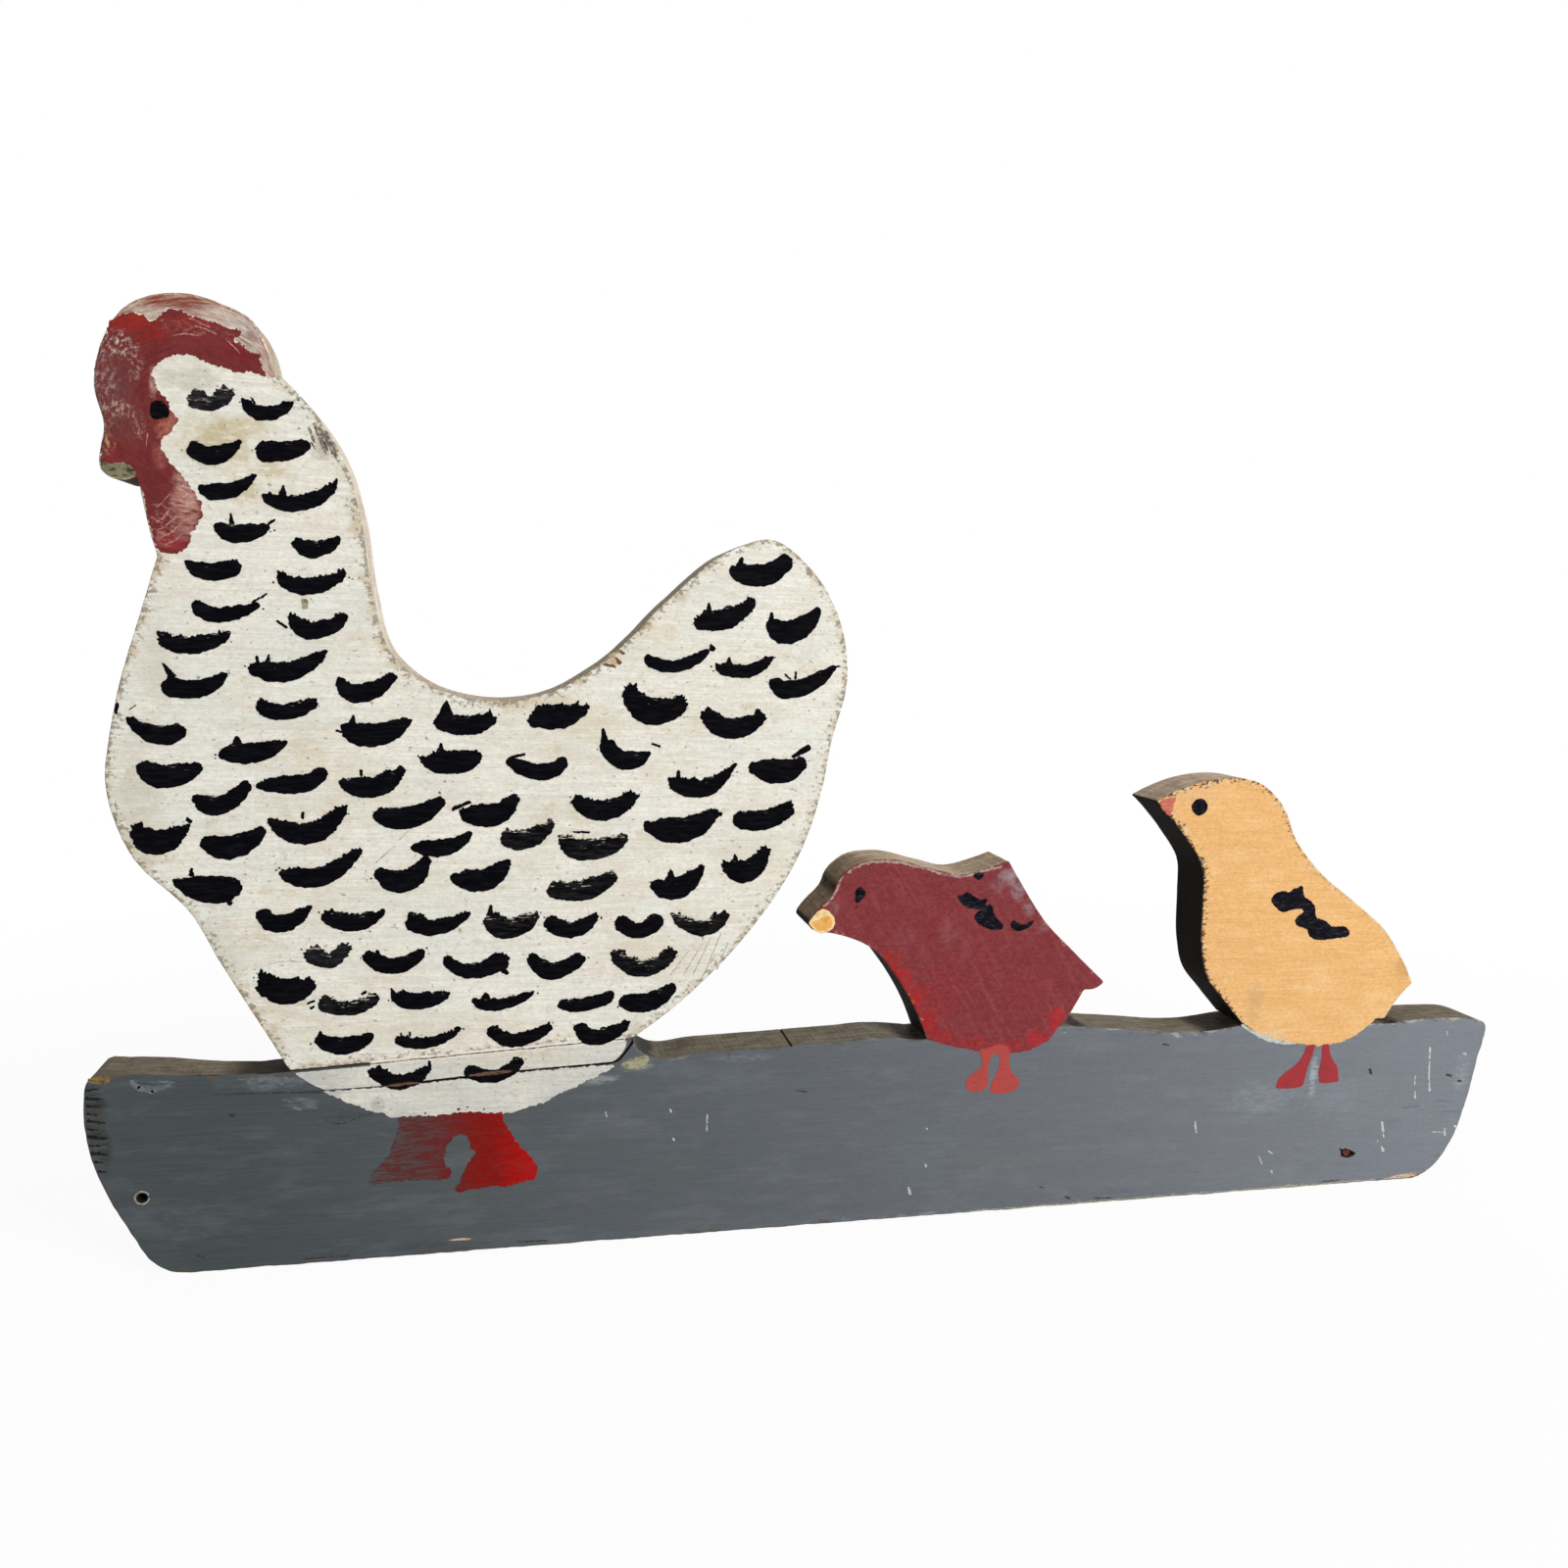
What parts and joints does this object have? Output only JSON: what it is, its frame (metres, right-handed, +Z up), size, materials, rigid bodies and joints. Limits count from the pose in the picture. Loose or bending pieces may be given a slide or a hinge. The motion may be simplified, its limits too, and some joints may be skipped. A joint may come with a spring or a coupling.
{
  "type": "folk art hen and chicks board carving",
  "caption": "Flat folk art hen and chicks sawn from boards, doweled in a row on the top edge of a long base board, hand painted on one side.",
  "frame": {"origin": "middle of the base board's bottom edge, on the surface it stands on, halfway through the board's thickness", "axes": "+X along the base board from the hen's end to the yellow chick's end, -Y out of the painted face, +Z up"},
  "size_m": [0.61, 0.022, 0.3556],
  "materials": {
    "grey_painted_wood": "old slate grey paint over board, worn to wood at the edges",
    "cream_painted_wood": "aged cream paint with black feather strokes and a worn red comb",
    "red_painted_wood": "brushed barn red paint",
    "yellow_painted_wood": "flat straw yellow paint",
    "dowel_wood": "bare turned hardwood",
    "rusted_iron": "rusted wrought nail"
  },
  "bodies": {
    "root": {"base_board": "grey_painted_wood", "hen": "cream_painted_wood", "red_chick": "red_painted_wood", "yellow_chick": "yellow_painted_wood", "hen_dowel_left": "dowel_wood", "hen_dowel_middle": "dowel_wood", "hen_dowel_right": "dowel_wood", "red_chick_dowel_left": "dowel_wood", "red_chick_dowel_right": "dowel_wood", "yellow_chick_dowel_left": "dowel_wood", "yellow_chick_dowel_right": "dowel_wood", "broken_nail": "rusted_iron"}
  },
  "joints": []
}
